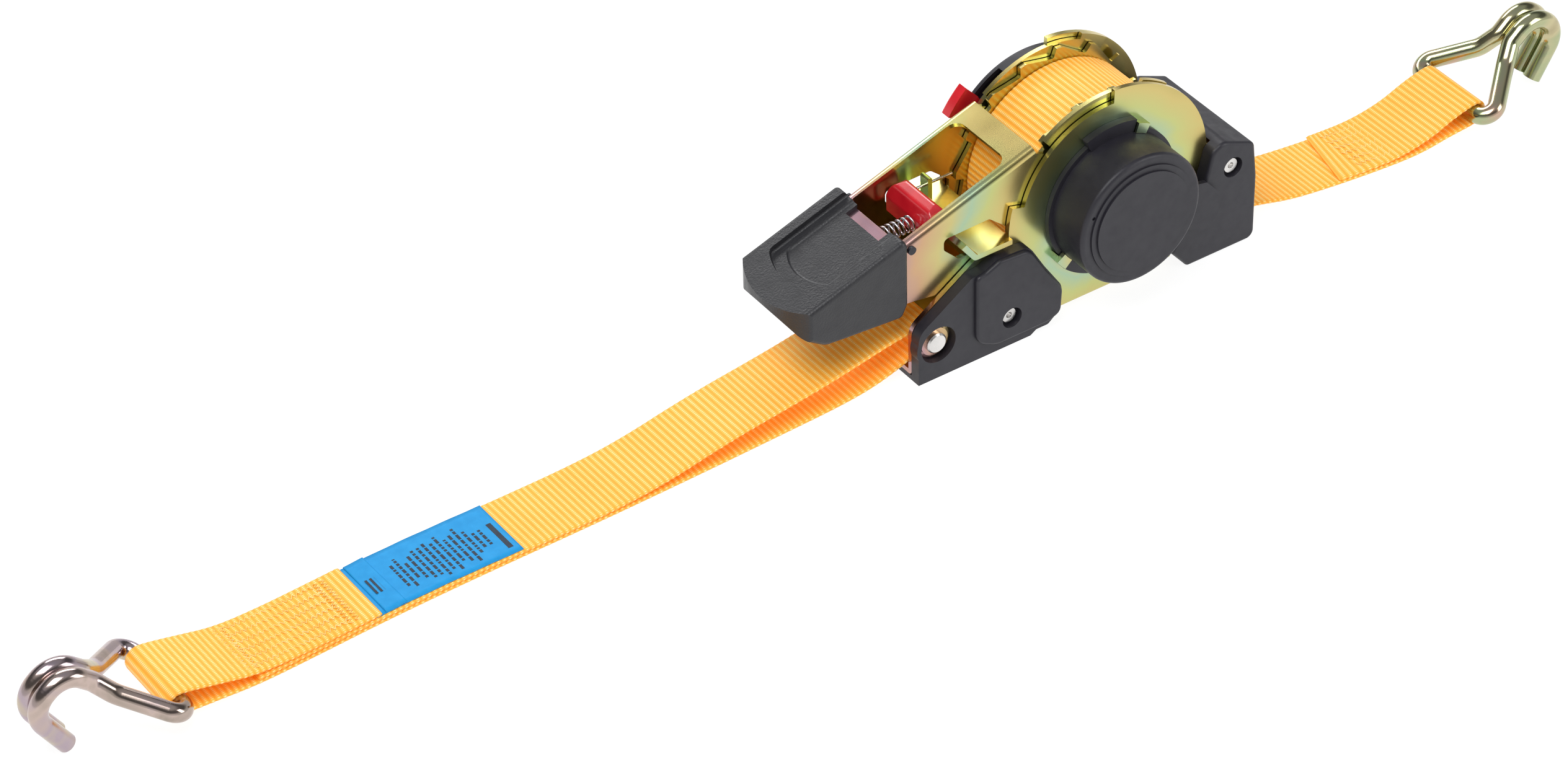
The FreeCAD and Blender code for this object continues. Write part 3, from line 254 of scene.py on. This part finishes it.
def red_plastic():
    material = new_material("red_plastic")
    shader = principled(material, (0.62, 0.012, 0.022), 0.22, Specular_IOR_Level=0.6)
    shader.inputs["Coat Weight"].default_value = 0.5
    shader.inputs["Coat Roughness"].default_value = 0.1
    n = Nodes(material)
    tones = [(0.3, (0.55, 0.008, 0.018)), (0.7, (0.7, 0.018, 0.028))]
    n.link(n.ramp(n.noise(120.0, 2.0), tones), "Base Color")
    n.link(n.bump(n.noise(2500.0, 2.0), 0.00002, 0.2), "Normal")
    return material


def bright_steel(name, tint, rough):
    material = new_material(name)
    principled(material, tint, rough, 1.0)
    n = Nodes(material)
    darker = tuple(value * 0.8 for value in tint)
    n.link(n.ramp(n.noise(120.0, 4.0), [(0.3, darker), (0.65, tint)]), "Base Color")
    n.link(n.ramp(n.noise(400.0, 3.0), [(0.3, grey(rough - 0.05)), (0.7, grey(rough + 0.12))]), "Roughness")
    return material


def webbing():
    """Woven polyester: ribs across and rows of short floats, from the mesh's own two lengths in mm; its
    colour follows the weave's height, darker orange in the rib valleys as painted shade and pale on the
    floats as painted highlight.
    """
    material = new_material("webbing")
    # The constant orange emission is a painted glow: it lifts the webbing's shaded sides to deep orange,
    # though the strap is no lamp.
    principled(material, (0.98, 0.42, 0.03), 0.6, Sheen_Weight=0.06, Sheen_Roughness=0.4,
               Emission_Color=(1.0, 0.24, 0.005, 1), Emission_Strength=0.14)
    n = Nodes(material)
    parts = n.add("SeparateXYZ", {"Vector": n.add("UVMap", uv_map="weave").outputs["UV"]})
    along = n.math("MULTIPLY", parts.outputs["X"], 1.0 / RIB_PITCH)
    across = n.math("MULTIPLY", parts.outputs["Y"], 1.0 / DASH_PITCH)
    stagger = n.math("MULTIPLY", n.math("MODULO", n.math("FLOOR", along), 2.0), 0.5)
    rib = n.math("SINE", n.math("MULTIPLY", n.math("FRACT", along), math.pi))
    beat = n.math("FRACT", n.math("ADD", across, stagger))
    dash = n.math("SINE", n.math("MULTIPLY", beat, math.pi))
    second = n.math("FRACT", n.math("ADD", n.math("ADD", across, stagger), 0.5))
    filler = n.math("SINE", n.math("MULTIPLY", second, math.pi))
    valley = n.math("SUBTRACT", 1.0, rib)
    floats = n.math("MULTIPLY", n.math("MULTIPLY", rib, rib), dash)
    height = n.math("ADD", floats, n.math("MULTIPLY", rib, 0.45))
    height = n.math("ADD", height, n.math("MULTIPLY", n.math("MULTIPLY", valley, filler), 0.4))
    wear = n.noise(35.0, 4.0)
    # Colour level: weave height plus random tone; the dark orange low end is painted shade in the rib
    # valleys and the pale high end is painted highlight on the floats.
    level = n.math("ADD", n.math("MULTIPLY", height, 0.62), n.math("MULTIPLY", wear, 0.25))
    colour = n.ramp(level, [
        (0.12, (0.92, 0.3, 0.01)),
        (0.36, (0.97, 0.42, 0.03)),
        (0.62, (1.0, 0.54, 0.07)),
        (0.86, (1.0, 0.7, 0.2)),
        (1.0, (1.0, 0.82, 0.4)),
    ])
    n.link(colour, "Base Color")
    fibre = n.noise(9000.0, 2.0)
    n.link(n.bump(n.math("ADD", height, n.math("MULTIPLY", fibre, 0.25)), 0.00016, 0.8), "Normal")
    return material


def plain_cloth(name, colour, lighter, rough=0.5):
    material = new_material(name)
    principled(material, colour, rough, Specular_IOR_Level=0.2)
    n = Nodes(material)
    n.link(n.ramp(n.noise(300.0, 4.0), [(0.3, colour), (0.75, lighter)]), "Base Color")
    n.link(n.bump(n.noise(4000.0, 2.0), 0.00005, 0.5), "Normal")
    return material


GREEN_GOLD = [
    (0.0, (0.42, 0.32, 0.1)),
    (0.2, (0.62, 0.5, 0.19)),
    (0.32, (0.54, 0.56, 0.22)),
    (0.42, (0.4, 0.54, 0.36)),
    (0.52, (0.6, 0.52, 0.22)),
    (0.66, (0.6, 0.38, 0.22)),
    (0.78, (0.46, 0.28, 0.32)),
    (1.0, (0.34, 0.32, 0.44)),
]
HOOK_PINK = [
    (0.25, (0.3, 0.26, 0.21)),
    (0.42, (0.54, 0.43, 0.38)),
    (0.55, (0.44, 0.36, 0.4)),
    (0.68, (0.56, 0.48, 0.34)),
    (0.8, (0.4, 0.42, 0.36)),
]
HOOK_GOLD = [
    (0.25, (0.36, 0.3, 0.18)),
    (0.42, (0.56, 0.5, 0.3)),
    (0.56, (0.4, 0.45, 0.26)),
    (0.7, (0.54, 0.38, 0.28)),
    (0.82, (0.54, 0.48, 0.3)),
]


def make_materials():
    return {
        "yellow_zinc": zinc("yellow_zinc", GREEN_GOLD, 0.23, 30.0, 0.62),
        "hook_left": zinc("hook_zinc_left", HOOK_PINK, 0.18, 60.0),
        "hook_right": zinc("hook_zinc_right", HOOK_GOLD, 0.17, 60.0),
        "bright_steel": bright_steel("bright_steel", (0.78, 0.76, 0.74), 0.25),
        "spring_steel": bright_steel("spring_steel", (0.72, 0.74, 0.78), 0.2),
        "black_plastic": black_plastic(),
        "black_grip": black_grip(),
        "red_plastic": red_plastic(),
        "webbing": webbing(),
        "thread": plain_cloth("thread", (1.0, 0.56, 0.1), (1.0, 0.8, 0.34), 0.6),
        "label": plain_cloth("label", (0.012, 0.29, 0.66), (0.02, 0.34, 0.74), 0.55),
        "label_ink": plain_cloth("label_ink", (0.02, 0.03, 0.05), (0.03, 0.05, 0.08), 0.5),
    }


# ---------------------------------------------------------------- mesh helpers
def build_mesh(name, points, faces):
    data = bpy.data.meshes.new(name)
    data.from_pydata([tuple(point) for point in points], [], faces)
    data.update()
    item = bpy.data.objects.new(name, data)
    bpy.context.collection.objects.link(item)
    return item


def settle(item, material, body, smooth=True):
    """Gives a new piece its material, smooth shading and CAD body."""
    item.data.materials.append(material)
    if smooth and item.type == "MESH":
        item.data.shade_smooth()
    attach(item, body)
    return item


def spot(x, z, y=0.0):
    """Point in metres from millimetres counted from the axle's vertical plane."""
    return Vector((x + 67.1, y, z)) * MM


def nurbs(points, resolution=24):
    """Points of a smooth line through a route, read back from its NURBS spline."""
    data = bpy.data.curves.new("route", "CURVE")
    data.dimensions = "3D"
    data.resolution_u = resolution
    spline = data.splines.new("NURBS")
    spline.points.add(len(points) - 1)
    for item, point in zip(spline.points, points):
        item.co = (*point, 1)
    spline.order_u = 3
    spline.use_endpoint_u = True
    item = bpy.data.objects.new("route", data)
    mesh = bpy.data.meshes.new_from_object(item)
    line = [vertex.co.copy() for vertex in mesh.vertices]
    bpy.data.objects.remove(item)
    bpy.data.curves.remove(data)
    bpy.data.meshes.remove(mesh)
    return line


def spaced(line, step):
    """The same line cut into equal steps, with the length along it."""
    lengths = [0.0]
    for first, second in zip(line, line[1:]):
        lengths.append(lengths[-1] + (second - first).length)
    count = max(2, round(lengths[-1] / step))
    out, index = [], 0
    for number in range(count + 1):
        want = lengths[-1] * number / count
        while index < len(line) - 2 and lengths[index + 1] < want:
            index += 1
        span = lengths[index + 1] - lengths[index]
        part = 0.0 if span == 0 else (want - lengths[index]) / span
        out.append((line[index].lerp(line[index + 1], part), want))
    return out


ACROSS = [-12.5, -12.35, -11.9, -10.6, -8.0, -5.0, -2.0, 2.0, 5.0, 8.0, 10.6, 11.9, 12.35, 12.5]


def strip_section():
    """Outline across the webbing, in mm: (across, half thickness) round both faces."""
    def half(across):
        edge = HALF_WIDTH - abs(across)
        return WEB / 2 * min(1.0, math.sqrt(max(0.0, 1 - (1 - min(edge, 0.6) / 0.6) ** 2)))
    top = [(a, half(a), 1) for a in ACROSS]
    bottom = [(a, half(a), -1) for a in reversed(ACROSS[1:-1])]
    return top + bottom


def webbing_strip(name, line, material, body, closed=False, start=0.0, slant=0.0, step=0.26):
    """Ribbed webbing along a line, with a weave map of its two lengths in mm; slant skews its last end."""
    points = spaced(line, step * MM)
    section = strip_section()
    ring, count = len(section), len(points)
    total = points[-1][1] / MM
    side = Vector((0, 1, 0))
    verts, lengths = [], []
    for index, (centre, run) in enumerate(points):
        if closed:
            ahead = points[(index + 1) % (count - 1)][0]
            behind = points[(index - 1) % (count - 1)][0]
        else:
            ahead = points[min(index + 1, count - 1)][0]
            behind = points[max(index - 1, 0)][0]
        tangent = (ahead - behind).normalized()
        normal = tangent.cross(side)
        phase = math.pi * (run / MM + start) / RIB_PITCH
        swell = 0.09 * abs(math.sin(phase)) - 0.06
        wide = 1.0 + 0.006 * math.sin(phase) ** 2
        end = min(index, count - 1 - index) if not closed else 99
        thin = 1.0 if end > 2 else 0.45 + 0.2 * end
        skew = slant * max(0.0, 1.0 - (total - run / MM) / 14.0) * (-1 if tangent.x < 0 else 1)
        for across, half, face in section:
            lift = (half + (swell if half > 0.3 else 0.0)) * face * thin
            shift = tangent * (skew * across / HALF_WIDTH)
            verts.append(centre + (side * across * wide + normal * lift + shift) * MM)
            under = 0.0 if face > 0 else DASH_PITCH / 2
            lengths.append((run / MM + start, across + HALF_WIDTH + under))
    faces = []
    for index in range(count - 1):
        for corner in range(ring):
            following = (corner + 1) % ring
            base, ahead = index * ring, (index + 1) * ring
            faces.append((base + corner, ahead + corner, ahead + following, base + following))
    if not closed:
        faces.append(tuple(range(ring)))
        faces.append(tuple(reversed(range((count - 1) * ring, count * ring))))
    item = build_mesh(name, verts, faces)
    layer = item.data.uv_layers.new(name="weave")
    for loop in item.data.loops:
        layer.data[loop.index].uv = lengths[loop.vertex_index]
    settle(item, material, body)
    return item


def octagon(x, z, radius, start, end):
    """Control points round a bar, every 45 degrees, that a smooth line follows as a circle."""
    reach = radius / math.cos(math.radians(22.5))
    step = 45 if end > start else -45
    turns = range(start, end + (1 if step > 0 else -1), step)
    side = sway(x)
    angles = [math.radians(turn) for turn in turns]
    return [spot(x + reach * math.cos(a), z + reach * math.sin(a), side) for a in angles]


# ---------------------------------------------------------------- straps
HOOK_LEFT = (-332.5, 7.0)
HOOK_RIGHT = (147.0, 7.0)
ANCHOR = (-67.1, 12.5)


def smooth(part):
    part = min(1.0, max(0.0, part))
    return part * part * (3 - 2 * part)


def sway(x):
    """Sideways offset, in mm, of the straps' middle line at a distance from the axle."""
    if x > -20.0:
        return -7.8 * smooth((x - 42.0) / 85.0)
    return -3.1 - 3.2 * smooth((-60.0 - x) / 140.0) - 3.7 * smooth((-235.0 - x) / 95.0)


def on_strap(x, z, y=0.0):
    return spot(x, z, y + sway(x))


def routed(points):
    return [on_strap(*point) for point in points]


def fixed_strap(look):
    """The short strap as one length of webbing: flap, hook loop, lower run, pin loop and upper run."""
    route = routed([(-264.3, 3.75), (-276.0, 3.7), (-292.0, 3.8), (-307.5, 4.7), (-319.5, 8.0)])
    route += octagon(*HOOK_LEFT, 3.78, 68, 292)
    route += routed([
        (-319.5, 2.2), (-307.5, 1.0), (-292.0, 0.78), (-262.0, 0.78), (-230.0, 0.8), (-190.0, 0.8),
        (-150.0, 0.78), (-118.0, 0.8), (-100.0, 0.95), (-88.0, 2.0), (-78.0, 4.6), (-72.0, 6.9),
    ])
    route += octagon(*ANCHOR, 4.45, -112, 68)
    route += routed([
        (-80.0, 15.5), (-92.0, 13.4), (-106.0, 11.2), (-120.0, 9.7), (-134.0, 8.4), (-148.0, 6.5),
        (-160.0, 4.4), (-173.0, 2.9), (-188.0, 2.3), (-206.0, 2.2), (-240.0, 2.15), (-275.0, 2.2),
        (-307.0, 2.5),
    ])
    strap = webbing_strip("fixed_strap_webbing", nurbs(route), look["webbing"], "frame")
    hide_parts("fixed_strap")
    middle = routed([
        ANCHOR, (-84.0, 8.6), (-104.0, 6.4), (-126.0, 5.0), (-150.0, 3.6), (-176.0, 1.8),
        (-206.0, 1.6), (-240.0, 1.6), (-268.0, 2.3), (-300.0, 4.4), HOOK_LEFT,
    ])
    line = nurbs(middle)
    return strap


def reel_strap(look):
    """The wound webbing's free end: out of the slot, along the ground, round the hook, back as a flap."""
    route = routed([
        (-2.6, 5.2), (20.0, 5.15), (40.0, 5.1), (54.0, 4.9), (64.0, 3.4), (74.0, 1.4),
        (84.0, 0.8), (100.0, 0.78), (118.0, 0.78), (128.0, 1.2), (136.0, 2.4),
    ])
    route += octagon(*HOOK_RIGHT, 3.78, -68, 112)
    route += routed([(137.5, 8.8), (128.5, 5.2), (118.5, 3.2), (109.0, 2.3), (96.3, 2.15)])
    strap = webbing_strip("reel_strap_webbing", nurbs(route), look["webbing"], "frame", start=0.4, slant=3.0)
    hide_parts("reel_strap")
    middle = routed([
        (-2.6, 5.2), (24.0, 5.15), (50.0, 5.0), (66.0, 3.0), (82.0, 0.9),
        (104.0, 1.4), (126.0, 3.2), HOOK_RIGHT,
    ])
    line = nurbs(middle)
    return strap


def thread_curve(name, runs, radius, look, body):
    """Sewing thread: one curve object with a spline for every run of points."""
    data = bpy.data.curves.new(name, "CURVE")
    data.dimensions = "3D"
    data.bevel_depth = radius * MM
    data.bevel_resolution = 2
    for run in runs:
        spline = data.splines.new("POLY")
        spline.points.add(len(run) - 1)
        for item, point in zip(spline.points, run):
            item.co = (*point, 1)
    item = bpy.data.objects.new(name, data)
    bpy.context.collection.objects.link(item)
    mesh = bpy.data.meshes.new_from_object(item)
    bpy.data.objects.remove(item)
    piece = bpy.data.objects.new(name, mesh)
    bpy.context.collection.objects.link(piece)
    return settle(piece, look["thread"], body)


def zigzag(start, end, across, swing, pitch, height):
    """Zigzag run of stitches along X at a height given as a function of x."""
    points = []
    x, side = start, 1
    while x <= end:
        points.append(on_strap(x, height(x), across + side * swing))
        x += pitch
        side = -side
    return points


def stitching(look):
    """Rows of zigzag thread across the sewn block, and two bars at each end of it."""
    def left_height(x):
        return 3.75 + WEB / 2 + 0.16 + 0.008 * max(0.0, -290.0 - x) ** 1.75
    rows = (-9.5, -5.7, -1.9, 1.9, 5.7, 9.5)
    runs = [zigzag(-307.0, -274.5, across, 0.75, 0.9, left_height) for across in rows]
    for bar in (-309.0, -306.5, -274.0, -271.5):
        points, across, side = [], -11.0, 1
        while across <= 11.0:
            points.append(on_strap(bar + side * 0.7, left_height(bar), across))
            across += 0.8
            side = -side
        runs.append(points)
    thread_curve("strap_stitching", runs, 0.22, look, "frame")

    def right_height(x):
        return 2.25 + WEB / 2 + 0.2 + 0.01 * max(0.0, x - 108.0) ** 1.7
    rows = (-9.0, -5.4, -1.8, 1.8, 5.4, 9.0)
    runs = [zigzag(102.5, 120.5, across, 0.8, 0.9, right_height) for across in rows]
    thread_curve("reel_stitching", runs, 0.22, look, "frame")


def sheet(name, left, right, half, height, columns=48, rows=12):
    """Thin cloth sheet; left, right give the end's x at an across position, height the middle surface."""
    verts, faces = [], []
    for face in (1, -1):
        for i in range(columns + 1):
            for j in range(rows + 1):
                y = -half + 2 * half * j / rows
                x = left(y) + (right(y) - left(y)) * i / columns
                verts.append(on_strap(x, height(x, y) + 0.11 * face, y))
    step = rows + 1
    size = (columns + 1) * step
    for i in range(columns):
        for j in range(rows):
            a = i * step + j
            faces.append((a, a + step, a + step + 1, a + 1))
            b = a + size
            faces.append((b, b + 1, b + step + 1, b + step))
    edge = [i * step for i in range(columns + 1)] + [columns * step + j for j in range(1, rows + 1)]
    edge += [i * step + rows for i in reversed(range(columns))] + [j for j in reversed(range(1, rows))]
    for a, b in zip(edge, edge[1:] + edge[:1]):
        faces.append((a, a + size, b + size, b))
    return build_mesh(name, verts, faces)


def label_height(x, y):
    return 3.13 + 0.05 * math.sin(x * 0.45) * math.cos(y * 0.22)


def label(look):
    """Blue cloth label with a few plain printed bars, and its folded end by the flap."""
    item = sheet("strap_label_cloth", lambda y: -266.0, lambda y: -215.1, 12.2, label_height)
    settle(item, look["label"], "frame")
    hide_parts("strap_label")

    def fold_height(x, y):
        return 3.38 + 0.25 * smooth((x + 262.0) / 6.5)
    fold = sheet("label_fold", lambda y: -262.7, lambda y: -255.6 - 0.02 * y, 12.3, fold_height, 12)
    settle(fold, look["label"], "frame")
    random.seed(4)
    corners = []
    for row in range(15):
        x = -251.5 + row * 2.1
        reach = random.choice((4.0, 5.5, 7.0, 8.5))
        y = -reach
        while y < reach:
            long = min(random.uniform(0.8, 2.6), reach - y + 0.4)
            corners.append((x, y - 1.0, 0.95, long, 0.0))
            y += long + 0.45
    corners.append((-218.6, -9.5, 1.7, 13.0, 0.0))
    for row in range(3):
        corners.append((-261.0 + row * 1.6, -4.0, 0.8, 7.0, 0.4))
    points, marks = [], []
    for x, y, wide, long, lift in corners:
        base = len(points)
        for dx, dy in ((0, 0), (wide, 0), (wide, long), (0, long)):
            points.append(on_strap(x + dx, label_height(x + dx, y + dy) + 0.15 + lift, y + dy))
        marks.append((base, base + 1, base + 2, base + 3))
    ink = build_mesh("label_marks", points, marks)
    settle(ink, look["label_ink"], "frame", smooth=False)


ROLL_INNER, ROLL_OUTER, TURN_STEP = 8.1, 31.8, 0.65


def webbing_roll(look):
    """The wound webbing: a ribbed outer turn over a core whose side faces show the turns."""
    radius = ROLL_OUTER - WEB / 2 - 0.1
    line = [spot(radius * math.sin(t), 38.0 + radius * math.cos(t)) for t in
            (2 * math.pi * k / 720 for k in range(721))]
    outer = webbing_strip("webbing_roll_turn", line, look["webbing"], "spool", closed=True)
    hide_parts("webbing_roll")
    rings = []
    r, index = ROLL_INNER, 0
    while r <= ROLL_OUTER - WEB + 0.05:
        rings.append((r, 12.3 - (0.22 if index % 2 else 0.0)))
        r += TURN_STEP
        index += 1
    profile = [(r, -y) for r, y in reversed(rings)] + rings
    verts, faces = [], []
    turns = 128
    for k in range(turns):
        t = 2 * math.pi * k / turns
        for r, y in profile:
            verts.append(spot(r * math.cos(t), 38.0 + r * math.sin(t), y))
    count = len(profile)
    for k in range(turns):
        ahead = (k + 1) % turns
        for j in range(count):
            following = (j + 1) % count
            here, there = k * count, ahead * count
            faces.append((here + j, here + following, there + following, there + j))
    core = build_mesh("webbing_roll_core", verts, faces)
    layer = core.data.uv_layers.new(name="weave")
    for loop in core.data.loops:
        x, y, z = core.data.vertices[loop.vertex_index].co / MM
        layer.data[loop.index].uv = (math.hypot(x - 67.1, z - 38.0), y)
    settle(core, look["webbing"], "spool")


# ---------------------------------------------------------------- CAD nodes that keep their shape
def finish_nodes(look):
    """Materials, and small rounded edges, for the CAD nodes that stay."""
    own = {"hook_left": "hook_left", "hook_right": "hook_right"}
    replaced = {"fixed_strap", "reel_strap", "strap_label", "webbing_roll"}
    slots = {part["node"]: part["material_slot"] for part in frame["record"]["subparts"]}
    widths = {
        "black_plastic": 0.3, "black_grip": 0.5, "red_plastic": 0.3,
        "yellow_zinc": 0.16, "bright_steel": 0.12,
    }
    plain = {"hook_left", "hook_right", "pawl_spring", "lock_springs", "winding_spring", "pawl_wire"}
    for name, item in frame["nodes"].items():
        if name in replaced:
            continue
        kind = slots[name]
        material = look[own.get(name, kind)]
        item.data.materials.clear()
        item.data.materials.append(material)
        for polygon in item.data.polygons:
            polygon.material_index = 0
        if name in plain or kind not in widths:
            continue
        bevel = item.modifiers.new("edge", "BEVEL")
        bevel.width = widths[kind] * MM
        bevel.segments = 3
        bevel.limit_method = "ANGLE"
        bevel.angle_limit = math.radians(40)
        bevel.harden_normals = False


look = make_materials()
make_camera()
make_stage()
fixed_strap(look)
reel_strap(look)
stitching(look)
label(look)
webbing_roll(look)
finish_nodes(look)
